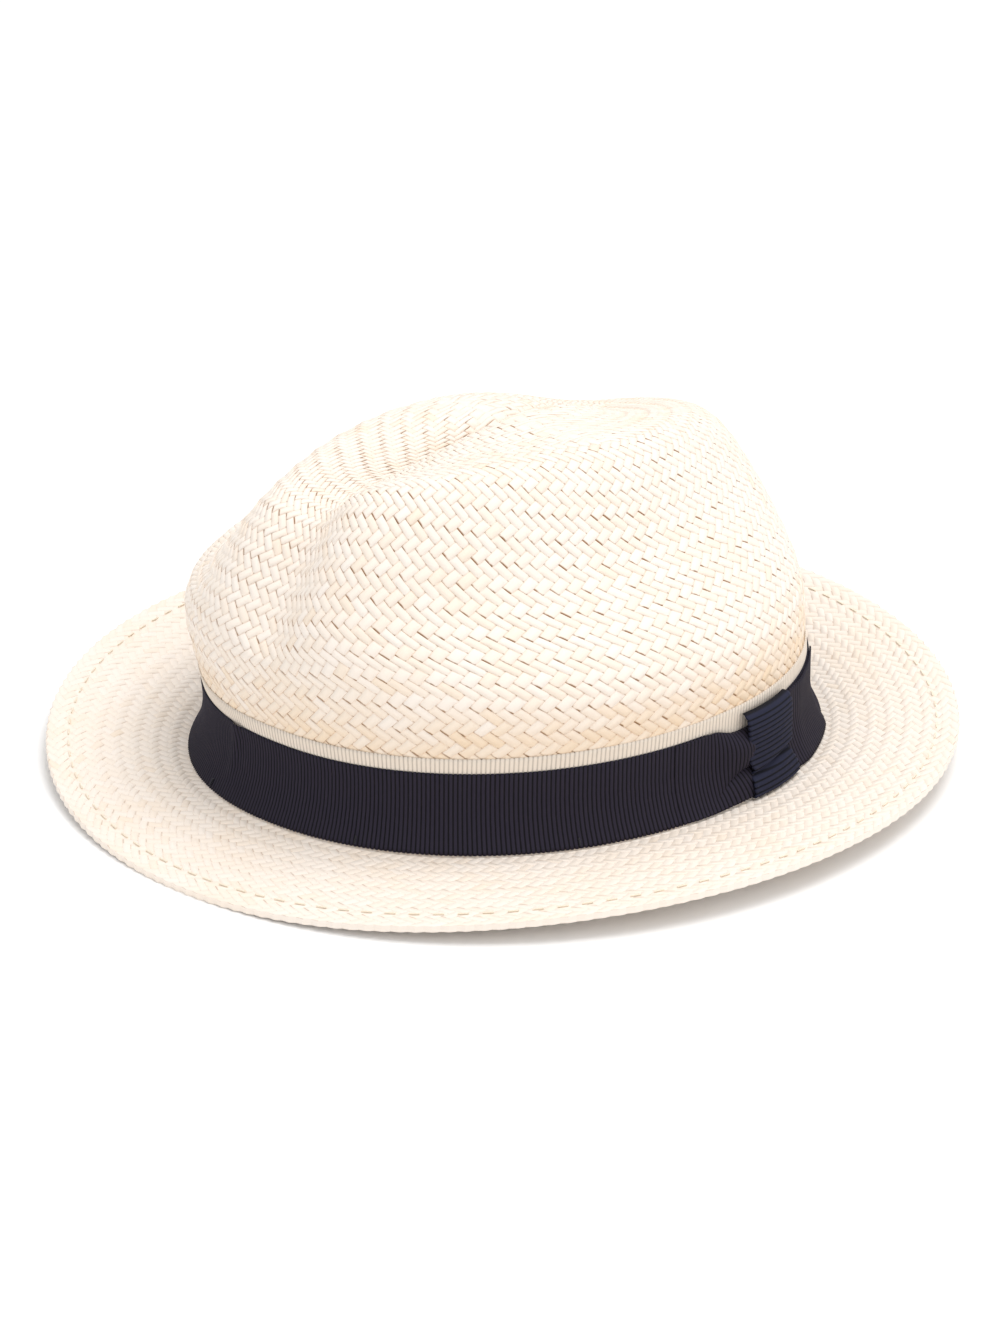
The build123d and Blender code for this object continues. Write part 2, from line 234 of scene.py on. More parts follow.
def crown_path(turn, steps):
    """The crown from its tip down to the hatband: a smooth cubic through the rings, where the
    slope at a ring is the slope between its neighbours. Rows run down, columns round."""
    shares = np.array([ring[0] for ring in CROWN_RINGS])
    rings = np.stack([crown_ring(ring, turn) for ring in CROWN_RINGS])
    slopes = np.empty_like(rings)
    slopes[1:-1] = (rings[2:] - rings[:-2]) / (shares[2:] - shares[:-2])[:, None, None]
    slopes[0] = (rings[1] - rings[0]) / (shares[1] - shares[0])
    slopes[-1] = (rings[-1] - rings[-2]) / (shares[-1] - shares[-2])
    at = np.linspace(1, 0, steps)
    i = np.clip(np.searchsorted(shares, at, side="right") - 1, 0, len(shares) - 2)
    span = (shares[i + 1] - shares[i])[:, None, None]
    u = ((at - shares[i]) / (shares[i + 1] - shares[i]))[:, None, None]
    path = (2 * u**3 - 3 * u**2 + 1) * rings[i] + (u**3 - 2 * u**2 + u) * span * slopes[i]
    path += (3 * u**2 - 2 * u**3) * rings[i + 1] + (u**3 - u**2) * span * slopes[i + 1]
    tip = np.broadcast_to(rings[-1].mean(0), (1, *rings[-1].shape))
    return np.concatenate([tip, path])


def over_straw(turn, outward, above):
    """Points over the straw at heights above its foot: the wall, and higher up the crown as it
    swells over the wall."""
    turn, outward, above = np.broadcast_arrays(turn, outward, above)
    swell = np.zeros(turn.shape)
    for column in range(turn.shape[1]):
        at = turn[:1, column]
        path = crown_path(at, 160)[:80:-1, 0]
        square = np.subtract(head_oval(at, 1.0), head_oval(at, 0.0))[:, 0]
        stands_out = (path[:, :2] - path[0, :2]) @ square
        swell[:, column] = np.interp(above[:, column] + foot_height(at), path[:, 2], stands_out)
    return wall(turn, outward + swell, above)


def even_rows(path, places):
    """Moves a grid's rows to equal shares of each column's own length, at the places from 0 to 1."""
    steps = np.linalg.norm(np.diff(path, axis=0), axis=-1)
    run = np.vstack([np.zeros(path.shape[1]), np.cumsum(steps, 0)])
    rows = np.empty((len(places), path.shape[1], 3))
    for column in range(path.shape[1]):
        share = run[:, column] / run[-1, column]
        for axis in range(3):
            rows[:, column, axis] = np.interp(places, share, path[:, column, axis])
    return rows


def grid_normals(grid):
    """Unit outward normals of a grid that closes round: down-step crossed with round-step."""
    down = np.gradient(grid, axis=0)
    around = np.roll(grid, -1, 1) - np.roll(grid, 1, 1)
    normal = np.cross(down, around)
    normal /= np.linalg.norm(normal, axis=-1, keepdims=True) + 1e-12
    return normal


def read_grid(grid, row, turn):
    """Bilinear reading of a grid at fractional rows and turns."""
    rows, columns = grid.shape[:2]
    row = np.clip(row, 0, rows - 1.0001)
    column = (turn % 1) * columns
    r, c = row.astype(int), column.astype(int)
    fr, fc = (row - r)[..., None], (column - c)[..., None]
    after = (c + 1) % columns
    c = c % columns
    above = grid[r, c] * (1 - fc) + grid[r, after] * fc
    below = grid[r + 1, c] * (1 - fc) + grid[r + 1, after] * fc
    return above * (1 - fr) + below * fr


# --- Meshes ---

def make_piece(name, points, faces, material, uv=None, smooth=None, face_values=None):
    """A mesh object from points and lists of faces. uv has one pair for each face corner in
    order, smooth one flag a face, and face_values names one number a face."""
    mesh = bpy.data.meshes.new(name)
    mesh.from_pydata(points.tolist(), [], faces)
    if uv is not None:
        mesh.uv_layers.new(name="cloth").data.foreach_set("uv", np.ascontiguousarray(uv, np.float32).ravel())
    flags = np.ones(len(faces), bool) if smooth is None else smooth
    mesh.polygons.foreach_set("use_smooth", flags)
    for label, values in (face_values or {}).items():
        mesh.attributes.new(label, "FLOAT", "FACE").data.foreach_set("value", values.astype(np.float32))
    mesh.materials.append(material)
    piece = bpy.data.objects.new(name, mesh)
    bpy.context.scene.collection.objects.link(piece)
    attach(piece, "root")
    return piece


# A float is one strip where it shows, two crossings long. Its corners 0 to 9 are its own, five
# along each side, and 10 to 15 are shared with its neighbours: 10, 12, 13 and 15 at its ends
# and 11 and 14 half way along its sides.
FINE_S = np.array([-0.93, -0.5, 0, 0.5, 0.93])
FINE_TOP = [[i, i + 1, i + 6, i + 5] for i in range(4)]
FINE_WALL = [
    [10, 11, 2, 1], [10, 1, 0], [11, 12, 3, 2], [12, 4, 3], [12, 13, 9, 4],
    [13, 14, 7, 8], [13, 8, 9], [14, 15, 6, 7], [15, 5, 6], [15, 10, 0, 5],
]
# The coarse float has two corners of its own along each side, 0 to 3
COARSE_S = np.array([-0.85, 0.85])
COARSE_TOP = [[0, 1, 3, 2]]
COARSE_WALL = [
    [10, 11, 0], [11, 1, 0], [11, 12, 1], [12, 13, 3, 1], [13, 14, 3], [14, 2, 3], [14, 15, 2],
    [15, 10, 0, 2],
]
SIDE_T = 0.9


class Weave:
    """The crossings of a herringbone twill laid out in rings. Ring k has crossings, and row k has
    the corners beside them; odd columns of corners stand half a step round from the crossings.
    A growing weave starts at a centre with four more crossings in each ring until it is full."""

    def __init__(self, rings, strips, growing):
        self.rings = rings
        self.strips = strips
        self.full = strips // 4 if growing else 0
        if growing and self.full % 4 != 3:
            raise ValueError("a growing weave has to be full at the end of a right-leaning pair of rings")
        rows = np.arange(rings + 2)
        counts = np.where(growing & (rows <= self.full), 4 * rows, strips)
        self.counts = counts
        self.starts = np.concatenate([[0], np.cumsum(counts)])
        self.row = np.repeat(rows, counts).astype(float)
        column = np.arange(self.starts[-1]) - np.repeat(self.starts[:-1], counts)
        drift = np.maximum(self.row - self.full, 0) / 2
        self.turn = (column + 0.5 - drift) / np.repeat(counts, counts)

    def corner(self, row, column):
        """Number of the corner in a row and column. The centre's row has none and counts as one."""
        return self.starts[row] + column % max(self.counts[row], 1)

    def around(self, ring, column):
        """The inner, right, left and outer corners of the crossings in a ring, and for those on
        the four spokes of a growing weave, the second outer corner in place of the inner."""
        right, left = self.corner(ring, column - 1), self.corner(ring, column)
        if ring > self.full:
            inner, outer = self.corner(ring - 1, column - 1), self.corner(ring + 1, column)
            return inner, right, left, outer, np.zeros(len(column), bool)
        quarter, step = column // ring, column % ring
        inner = self.corner(ring - 1, quarter * (ring - 1) + step - 1)
        wider = ring + 1 if ring < self.full else ring
        outer = self.corner(ring + 1, quarter * wider + step)
        return inner, right, left, outer, step == 0

    def floats(self):
        """Six shared corners of each float, from its right end round to its left, 1 if it leans to
        the left, and a number that floats of one strip share.
        Rings pair up, and the pairs lean by turns to the left and to the right."""
        tiles, lean, strip = [], [], []
        first = 2 if self.full else 1
        for ring in range(first, self.rings, 2):
            leans_left = ((ring - first) // 2) % 2 == (1 if self.full else 0)
            growing = ring < self.full
            column = np.arange(4 * ring if growing else self.strips)
            inner, right, left, outer, spoke = self.around(ring, column)
            if growing:
                partner = column // ring * (ring + 1) + column % ring
            else:
                partner = column
            if not leans_left:
                partner = partner + 1
            _, right2, left2, outer2, _ = self.around(ring + 1, partner % self.count(ring + 1))
            second = self.corner(ring + 2, (column // max(ring, 1)) * (ring + 2) - 1)
            if leans_left:
                tile = [inner, right, right2, outer2, left2, left]
                on_spoke = [right, right2, second, outer2, left2, left]
            else:
                tile = [right, outer, outer2, left2, left, inner]
                spare = self.corner(ring + 1, (column // max(ring, 1)) * (ring + 1) - 1)
                on_spoke = [spare, outer, outer2, left2, left, right]
            tile = np.where(spoke, np.stack(on_spoke), np.stack(tile)).T
            tiles.append(tile)
            strip.append(column if leans_left else column - ring + 5000)
            lean.append(np.full(len(tile), float(leans_left)))
        return np.concatenate(tiles), np.concatenate(lean), np.concatenate(strip)

    def count(self, ring):
        return 4 * ring if ring <= self.full else self.strips

    def patches(self):
        """Single crossings that no float covers, near the centre of a growing weave."""
        patches = [[self.corner(1, c) for c in range(4)]]
        for ring in range(1, self.full + 1, 2):
            leans_left = ring > 1 and ((ring - 3) // 2) % 2 == 1
            for quarter in range(4):
                column = np.array([quarter * ring + (ring - 1 if leans_left else 0)])
                inner, right, left, outer, _ = (int(v[0]) for v in self.around(ring, column))
                if leans_left:
                    patches.append([inner, right, outer, left])
                elif ring < self.full:
                    second = int(self.corner(ring + 1, quarter * (ring + 1) - 1))
                    patches.append([right, second, outer, left])
                else:
                    patches.append([right, outer, left])
        return patches

    def rim(self, last):
        """Corners along the weave's outer edge or, when last is false, its inner one."""
        column = np.arange(self.strips)
        inner, _, left, outer, _ = self.around(self.rings if last else 1, column)
        return np.stack([outer if last else inner, left], 1).ravel()


def weave_side(weave, hub, grid, normals, fine, relief, rng):
    """One face of a woven sheet. Each float is read off the grid at its own corners, placed
    between its shared ones in the flat plan of the weave, and arched along its length.
    Returns points, faces, uv in floats' own shares, smooth flags and numbers for each face."""
    arch, groove, side = relief
    tiles, lean, strip = weave.floats()
    plan = (weave.row + hub)[:, None] * np.stack([np.cos(TAU * weave.turn), np.sin(TAU * weave.turn)], 1)
    plan = plan + rng.normal(0, 0.035, plan.shape)
    own_s = np.tile(FINE_S if fine else COARSE_S, 2)
    own_t = np.repeat([-SIDE_T, SIDE_T], len(own_s) // 2)
    ends = plan[tiles]
    s = np.abs(own_s)[None, :, None]
    lower_end = np.where(own_s[None, :, None] < 0, ends[:, None, 0], ends[:, None, 2])
    upper_end = np.where(own_s[None, :, None] < 0, ends[:, None, 5], ends[:, None, 3])
    lower = lower_end * s + ends[:, None, 1] * (1 - s)
    upper = upper_end * s + ends[:, None, 4] * (1 - s)
    across = (own_t[None, :, None] + 1) / 2
    own = (lower * (1 - across) + upper * across).reshape(-1, 2)
    tilt = rng.normal(0, 0.12, (len(tiles), 1)) * own_s + rng.normal(0, 0.10, (len(tiles), 1)) * own_t
    rise = arch * (1.05 - 1.5 * own_s**2 + tilt + rng.normal(0, 0.12, (len(tiles), 1)))
    scale = (len(grid) - 1) / (weave.rings + 1)

    def place(p, height):
        row = (np.hypot(p[:, 0], p[:, 1]) - hub) * scale
        turn = np.arctan2(p[:, 1], p[:, 0]) / TAU
        return read_grid(grid, row, turn) + side * height[:, None] * read_grid(normals, row, turn)

    deep = -groove * (1 + rng.normal(0, 0.15, len(plan)))
    points = np.concatenate([place(plan, deep), place(own, rise.ravel())])
    count = len(own_s)
    own_start = len(plan) + np.arange(len(tiles)) * count
    faces, uv, smooth, tone, leaning = [], [], [], [], []
    shared_s, shared_t = np.array([-1, 0, 1, 1, 0, -1]), np.array([-1, -1, -1, 1, 1, 1])
    whole_strips = rng.normal(0, 1, 12000)[strip.astype(int) % 12000]
    value = 0.55 * whole_strips + 0.6 * rng.normal(0, 1, len(tiles))
    top_faces, wall_faces = (FINE_TOP, FINE_WALL) if fine else (COARSE_TOP, COARSE_WALL)
    for local_faces, is_top in ((top_faces, True), (wall_faces, False)):
        for local in local_faces:
            ids = [own_start + i if i < 10 else tiles[:, i - 10] for i in local]
            corners = np.array([
                (own_s[i], own_t[i]) if i < 10 else (shared_s[i - 10], shared_t[i - 10]) for i in local])
            face = np.stack(ids, 1)
            if side < 0:
                face, corners = face[:, ::-1], corners[::-1]
            faces += face.tolist()
            uv.append(np.broadcast_to(corners, (len(tiles), *corners.shape)).reshape(-1, 2))
            smooth.append(np.full(len(tiles), is_top))
            tone.append(value)
            leaning.append(lean)
    for patch in weave.patches() if weave.full else []:
        faces.append(patch[::-1] if side < 0 else patch)
        uv.append(np.zeros((len(patch), 2)))
        smooth.append(np.array([True]))
        tone.append(np.zeros(1))
        leaning.append(np.zeros(1))
    numbers = np.stack([np.concatenate(tone), np.concatenate(leaning)], 1)
    return points, faces, np.concatenate(uv), np.concatenate(smooth), numbers


def woven_piece(name, weave, hub, outer_grid, inner_grid, fine_inside, relief, material, seed):
    """A closed woven sheet: an outer face, an inner face and a rim of quads at each open edge."""
    rng = np.random.default_rng(seed)
    outer_normals = grid_normals(outer_grid)
    if weave.full:
        outer_normals[0] = outer_normals[1].mean(0)
    outer = weave_side(weave, hub, outer_grid, outer_normals, True, (*relief, 1), rng)
    inner = weave_side(weave, hub, inner_grid, outer_normals, fine_inside, (*relief, -1), rng)
    start = len(outer[0])
    faces = outer[1] + [[i + start for i in face] for face in inner[1]]
    uv, smooth, numbers = [outer[2], inner[2]], [outer[3], inner[3]], [outer[4], inner[4]]
    for last in ((True,) if weave.full else (True, False)):
        loop = weave.rim(last)
        following = np.roll(loop, -1)
        quads = np.stack([following, loop, loop + start, following + start], 1)
        if not last:
            quads = quads[:, ::-1]
        faces += quads.tolist()
        uv.append(np.tile([[0.0, 0.6]], (4 * len(quads), 1)))
        smooth.append(np.zeros(len(quads), bool))
        numbers.append(np.zeros((len(quads), 2)))
    numbers = np.concatenate(numbers)
    points = np.concatenate([outer[0], inner[0]])
    return make_piece(
        name, points, faces, material, np.concatenate(uv), np.concatenate(smooth),
        {"tone": numbers[:, 0], "lean": numbers[:, 1]})


def cloth_shell(name, outer, inner, closed, material, uv_size):
    """A strip of cloth from two grids of the same shape, rows up and columns along: an outer
    face, an inner face, and edges between them. uv_size is the strip's height and length."""
    rows, columns = outer.shape[:2]
    points = np.concatenate([outer.reshape(-1, 3), inner.reshape(-1, 3)])
    ids = np.arange(rows * columns).reshape(rows, columns)
    if closed:
        ids = np.concatenate([ids, ids[:, :1]], 1)
    a, b, c, d = ids[:-1, :-1], ids[:-1, 1:], ids[1:, 1:], ids[1:, :-1]
    under = rows * columns
    quads = [np.stack([a, b, c, d], -1), np.stack([d, c, b, a], -1) + under]
    low, high = ids[0], ids[-1]
    quads.append(np.stack([low[1:], low[:-1], low[:-1] + under, low[1:] + under], -1))
    quads.append(np.stack([high[:-1], high[1:], high[1:] + under, high[:-1] + under], -1))
    if not closed:
        left, right = ids[:, 0], ids[:, -1]
        quads.append(np.stack([left[:-1], left[1:], left[1:] + under, left[:-1] + under], -1))
        quads.append(np.stack([right[1:], right[:-1], right[:-1] + under, right[1:] + under], -1))
    faces = np.concatenate([q.reshape(-1, 4) for q in quads])
    row_of = np.tile(np.repeat(np.arange(rows), columns), 2)
    column_of = np.tile(np.arange(columns), 2 * rows)
    uv = np.stack([column_of[faces] / (columns - 1 + closed), row_of[faces] / (rows - 1)], -1)
    if closed:
        wraps = (uv[..., 0].max(1) - uv[..., 0].min(1)) > 0.5
        uv[..., 0] = np.where(wraps[:, None] & (uv[..., 0] < 0.5), uv[..., 0] + 1, uv[..., 0])
    uv = uv * np.array([uv_size[1], uv_size[0]])
    return make_piece(name, points, faces.tolist(), material, uv.reshape(-1, 2))


def ribs(phase, relief):
    """Height of round ribs over narrow valleys: about the square root of a half sine, once a
    phase."""
    return relief * np.abs(np.sin(np.pi * phase)) ** 0.55


# --- Materials ---

def node(tree, kind, links=None, **settings):
    """Adds a node with its settings, and links or sets its inputs by name or number."""
    made = tree.nodes.new(kind)
    for key, value in settings.items():
        setattr(made, key, value)
    for socket, source in (links or {}).items():
        if isinstance(source, bpy.types.NodeSocket):
            tree.links.new(source, made.inputs[socket])
        else:
            made.inputs[socket].default_value = source
    return made


def new_finish(name, roughness, specular=0.5, sheen=0.0):
    """A material with one Principled shader. Returns its tree and the shader."""
    material = bpy.data.materials.new(name)
    material.use_nodes = True
    tree = material.node_tree
    shader = tree.nodes["Principled BSDF"]
    shader.inputs["Roughness"].default_value = roughness
    shader.inputs["Specular IOR Level"].default_value = specular
    shader.inputs["Sheen Weight"].default_value = sheen
    shader.inputs["Sheen Roughness"].default_value = 0.5
    return tree, shader


def maths(tree, operation, *values):
    """One step of arithmetic on sockets or numbers."""
    made = node(tree, "ShaderNodeMath", dict(enumerate(values)), operation=operation)
    return made.outputs[0]


def times(tree, value, factor):
    return maths(tree, "MULTIPLY", value, factor)


def plus(tree, value, other):
    return maths(tree, "ADD", value, other)


def less(tree, value, other):
    return maths(tree, "SUBTRACT", value, other)


def noise(tree, vector, scale, detail, roughness=0.5):
    """Cloudy noise at a number of cells in a metre, or in a unit of the vector."""
    made = node(
        tree, "ShaderNodeTexNoise",
        {"Vector": vector, "Scale": scale, "Detail": detail, "Roughness": roughness})
    return made.outputs["Fac"]


def own_place(tree):
    """Position in the object's own coordinates, in metres."""
    return node(tree, "ShaderNodeTexCoord").outputs["Object"]


def cloth_place(tree):
    """The two directions of the cloth's own map."""
    uv = node(tree, "ShaderNodeUVMap", uv_map="cloth").outputs[0]
    parts = node(tree, "ShaderNodeSeparateXYZ", {0: uv})
    return parts.outputs[0], parts.outputs[1]


def finish_with(tree, shader, base, height=None, strength=0.0, depth=0.0):
    """Links the colour to the shader, and a height as a bump of some depth in metres."""
    tree.links.new(base, shader.inputs["Base Color"])
    if height is not None:
        bump = node(tree, "ShaderNodeBump", {"Height": height, "Strength": strength, "Distance": depth})
        tree.links.new(bump.outputs[0], shader.inputs["Normal"])


def mixed(tree, factor, first, second):
    """Colour mix: first where the factor is 0 and second where it is 1."""
    made = node(tree, "ShaderNodeMix", {0: factor, 6: first, 7: second}, data_type="RGBA")
    return made.outputs[2]


def ramp(tree, value, low, high, to_low=0.0, to_high=1.0):
    """Smooth step of a value from low to high."""
    made = node(
        tree, "ShaderNodeMapRange",
        {"Value": value, "From Min": low, "From Max": high, "To Min": to_low, "To Max": to_high},
        interpolation_type="SMOOTHSTEP")
    return made.outputs["Result"]


FLOAT_HALF_LENGTH = 3.0   # millimetres
FLOAT_HALF_WIDTH = 1.5
PLY_PITCH = 0.6 * MM
WARP_PITCH = 0.35 * MM


def woven_straw(name, settings, gaps, relief, warm_shade_over_band):
    """Bleached paper straw: paper tape pressed flat and woven by hand, with fine fibres along each
    strip, each strip a little warmer or paler, and painted brown shadow in the gaps between. gaps is how
    strongly the gaps show: 1 as woven and less where the sheet was pressed. The last argument is
    how strongly painted warm shade tints the colour just over the hatband."""
    tree, shader = new_finish(name, roughness=0.55, specular=0.3)
    along, across = cloth_place(tree)
    tone = node(tree, "ShaderNodeAttribute", attribute_name="tone").outputs["Fac"]
    lean = node(tree, "ShaderNodeAttribute", attribute_name="lean").outputs["Fac"]
    # Millimetres from the float's sides and ends
    from_side = times(tree, less(tree, 1.0, maths(tree, "ABSOLUTE", across)), FLOAT_HALF_WIDTH)
    from_end = times(tree, less(tree, 1.0, maths(tree, "ABSOLUTE", along)), FLOAT_HALF_LENGTH)
    position = own_place(tree)
    patchy = noise(tree, position, 240.0, 2.0)
    # Painted brown shadow in the gaps shows at the lower ends of the strips that lean left, and faintly
    # along the sides of the others, wider in some places than in others
    reach = ramp(tree, patchy, 0.35, 0.68, 0.14, 0.36)
    at_side = less(tree, 1.0, ramp(tree, from_side, 0.02, reach))
    at_end = less(tree, 1.0, ramp(tree, from_end, 0.03, times(tree, reach, 2.4)))
    side_share = ramp(tree, lean, 0.0, 1.0, 0.13 * gaps, 0.04 * gaps)
    lower_end = ramp(tree, along, -0.1, 0.1, 0.12, 1.0)
    end_share = times(tree, ramp(tree, lean, 0.0, 1.0, 0.15 * gaps, 1.15 * gaps), lower_end)
    gap = maths(tree, "MAXIMUM", times(tree, at_side, side_share), times(tree, at_end, end_share))
    gap = times(tree, gap, ramp(tree, patchy, 0.38, 0.62, 0.35, 1.0))
    # Painted shadow also darkens the lower corners of each float
    beside_corner = ramp(tree, from_side, 0.1, 0.6, 1.0, 0.0)
    near_corner = times(tree, beside_corner, ramp(tree, from_end, 0.2, 0.9, 1.0, 0.0))
    near_corner = times(tree, near_corner, lower_end)
    gap = maths(tree, "MAXIMUM", gap, times(tree, near_corner, 0.6 * gaps))
    # Fibres about 0.12 mm apart, drawn out along the strip, and different on every strip
    drawn = node(
        tree, "ShaderNodeCombineXYZ",
        {0: times(tree, along, 1.2), 1: times(tree, across, 9.0), 2: times(tree, tone, 7.0)})
    fibres = noise(tree, drawn.outputs[0], 1.4, 3.0, 0.6)
    warmth = plus(tree, times(tree, tone, 0.04 + 0.05 * gaps), times(tree, fibres, 0.3))
    warmth = plus(tree, warmth, times(tree, noise(tree, position, 28.0, 1.0), 0.25))
    height = node(tree, "ShaderNodeSeparateXYZ", {0: position}).outputs[2]
    # Painted warm shade over the crown's foot: strongest just over the hatband, gone by 62 mm up
    warmth = plus(tree, warmth, ramp(tree, height, 24 * MM, 62 * MM, warm_shade_over_band, 0.0))
    warmth = ramp(tree, warmth, 0.1, 0.95)
    straw = mixed(tree, warmth, tuple(settings.lit), tuple(settings.warm))
    base = mixed(tree, gap, straw, tuple(settings.gap))
    finish_with(tree, shader, base, fibres, relief, 0.12 * MM)


def grosgrain(name, colour_of_ribs, valley_shade, ribs_along_v, pitch):
    """Grosgrain: a viscose ribbon woven with thick ribs across it, matt on the rib tops and darkened
    by painted shade in the valleys, with fine warp threads crossing each rib."""
    tree, shader = new_finish(name, roughness=0.75, specular=0.18, sheen=0.08)
    shader.inputs["Sheen Tint"].default_value = (*colour_of_ribs[:3], 1)
    along_ribs, across_ribs = cloth_place(tree) if ribs_along_v else cloth_place(tree)[::-1]
    phase = times(tree, across_ribs, math.pi / pitch)
    crest = maths(tree, "ABSOLUTE", maths(tree, "SINE", phase))
    lint = noise(tree, own_place(tree), 900.0, 2.0)
    thread = maths(tree, "SINE", times(tree, along_ribs, TAU / WARP_PITCH))
    shade = plus(tree, ramp(tree, crest, 0.15, 0.85), times(tree, lint, 0.3))
    # Painted shade in the valleys: the rib colour is scaled down there and full on the crests
    dark = tuple(c * valley_shade for c in colour_of_ribs[:3]) + (1.0,)
    base = mixed(tree, ramp(tree, shade, 0.1, 1.1), dark, tuple(colour_of_ribs))
    finish_with(tree, shader, base, plus(tree, times(tree, thread, 0.5), lint), 0.35, 0.05 * MM)


def woven_cloth(name, base, dark, pitch, roughness=0.8, slant=1.0):
    """Close twill or satin tape, woven by machine: wales at the pitch in metres, slanted as many
    across as along, over uneven thread."""
    tree, shader = new_finish(name, roughness=roughness, specular=0.25, sheen=0.2)
    along, across = cloth_place(tree)
    wale = plus(tree, along, times(tree, across, slant))
    wales = maths(tree, "SINE", times(tree, wale, TAU / pitch))
    shade = plus(tree, times(tree, wales, 0.3), noise(tree, own_place(tree), 700.0, 2.0))
    shaded = mixed(tree, ramp(tree, shade, 0.1, 0.9), dark, base)
    finish_with(tree, shader, shaded, shade, 0.4, 0.08 * MM)


def twisted_thread(name, base, dark):
    """Cotton sewing thread, spun and twisted from two plies: matt, with slanting ply lines."""
    tree, shader = new_finish(name, roughness=0.75, specular=0.25, sheen=0.3)
    plies = node(
        tree, "ShaderNodeTexWave",
        {"Vector": own_place(tree), "Scale": TAU / 10 / PLY_PITCH, "Distortion": 1.0},
        bands_direction="DIAGONAL").outputs["Fac"]
    finish_with(tree, shader, mixed(tree, plies, dark, base), plies, 0.4, 0.06 * MM)


def moulded_reed():
    """Polythene reed, extruded: waxy off-white with faint clouds."""
    tree, shader = new_finish("extruded_polythene", roughness=0.4, specular=0.45)
    clouds = noise(tree, own_place(tree), 350.0, 2.0)
    finish_with(tree, shader, mixed(tree, clouds, linear("#d9d3c4"), linear("#efebe0")))


# --- Operators, one for each piece or group of like pieces ---

def smooth(low, high, value):
    """Smooth step from 0 at low to 1 at high."""
    t = np.clip((value - low) / (high - low), 0, 1)
    return t * t * (3 - 2 * t)


class HAT_OT_crown(bpy.types.Operator):
    """Weave the crown from its tip down to just above its foot"""

    bl_idname = "hat.crown"
    bl_label = "Woven crown"

    def execute(self, context):
        straw = context.scene.hat_straw
        turns = np.arange(COLUMNS) / COLUMNS
        top = crown_path(turns, 240)
        start = 2.5 * MM
        share = np.linspace(1, 0, 24)[1:, None] * (top[-1, :, 2] - foot_height(turns) - start)
        low = wall(turns[None], 0.0, share + start)
        row = np.linspace(0, straw.crown_rows + 1, 3 * (straw.crown_rows + 1) + 1)
        grid = even_rows(np.concatenate([top, low]), row / row[-1])
        normals = grid_normals(grid)
        ridge = straw.ridge * np.cos(TAU * (row - 1) / 4) * smooth(4, 12, row) * (1 - smooth(80, 92, row))
        grid = grid + ridge[:, None, None] * normals
        weave = Weave(straw.crown_rows, straw.crown_strips, growing=True)
        woven_piece(
            "woven_crown", weave, 0, grid, grid - STRAW * normals, False,
            (straw.arch, straw.groove), bpy.data.materials["bleached_paper_straw"], seed=7)
        return {"FINISHED"}


class HAT_OT_brim(bpy.types.Operator):
    """Weave the brim, from under the hatband out to its turned edge"""

    bl_idname = "hat.brim"
    bl_label = "Woven brim"

    def execute(self, context):
        straw = context.scene.hat_straw
        turns = np.arange(COLUMNS) / COLUMNS
        inner = wall(turns[None], 0.0, np.linspace(5 * MM, 0, 12)[:-1, None])
        path = np.concatenate([inner, brim(turns[None], np.linspace(0, 1, 60)[:, None])])
        rings = straw.brim_rows
        row = np.linspace(0, rings + 1, 3 * (rings + 1) + 1)
        last_step = 0.35
        places = np.minimum(row, rings) + last_step * np.clip(row - rings, 0, 1)
        grid = even_rows(path, places / (rings + last_step))
        normals = grid_normals(grid)
        radial = BRIM_WIDTH / rings
        hem = smooth(rings - HEM_WIDTH / radial - 0.5, rings - HEM_WIDTH / radial + 0.5, row)
        thick = STRAW + (HEM_THICKNESS - STRAW) * hem
        ridge = 0.9 * straw.ridge * np.cos(TAU * row / 4) * smooth(3, 7, row) * (1 - 0.6 * hem)
        grid = grid + ridge[:, None, None] * normals
        weave = Weave(rings, straw.brim_strips, growing=False)
        woven_piece(
            "woven_brim", weave, 70, grid, grid - thick[:, None, None] * normals, True,
            (0.35 * straw.arch, 0.4 * straw.groove), bpy.data.materials["bleached_paper_straw_pressed"],
            seed=11)
        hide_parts("straw_hood")
        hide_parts("straw_hood")
        return {"FINISHED"}


def ribbon_round(name, inner, width, sag, settings, material, node_name):
    """A ribbon sewn round the crown: rows up its width, six columns to each rib, and picot
    edges where each rib's end stands out."""
    around = OVAL_LENGTH
    count = round(around / settings.rib_pitch)
    columns = np.arange(6 * count) / (6 * count)
    relief = ribs(columns * count, settings.rib_relief)
    share = np.array([0, 0.04, 0.2, 0.4, 0.6, 0.8, 0.96, 1])[:, None]
    picot = relief * np.where(share < 0.5, -1, 1) * np.where(np.abs(share - 0.5) > 0.47, 1, 0)
    # Under the bow's gathered end the navy ribbon is drawn down off the cream one
    degrees = (columns * 360 + 180) % 360 - 180
    drawn_down = sag * smooth(-4, 6, degrees) * (1 - smooth(14, 24, degrees))
    above = BAND_FOOT + (width - drawn_down) * share + picot
    # One soft upright wrinkle near the front, where the navy ribbon was eased round
    wrinkle = 0.35 * sag * np.exp(-((degrees + 107 - 4 * share) / 1.6) ** 2) * smooth(0.1, 0.7, share)
    edge = np.where(np.abs(share - 0.5) > 0.47, 0.3, 1.0)
    stands_out = inner + wrinkle + RIBBON - settings.rib_relief * 0.5 + relief * edge
    outer = over_straw(columns[None], stands_out, above)
    back = over_straw(columns[None], inner + 0.9 * wrinkle, above)
    piece = cloth_shell(name, outer, back, True, material, (width, count * settings.rib_pitch))
    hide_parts(node_name)
    return piece


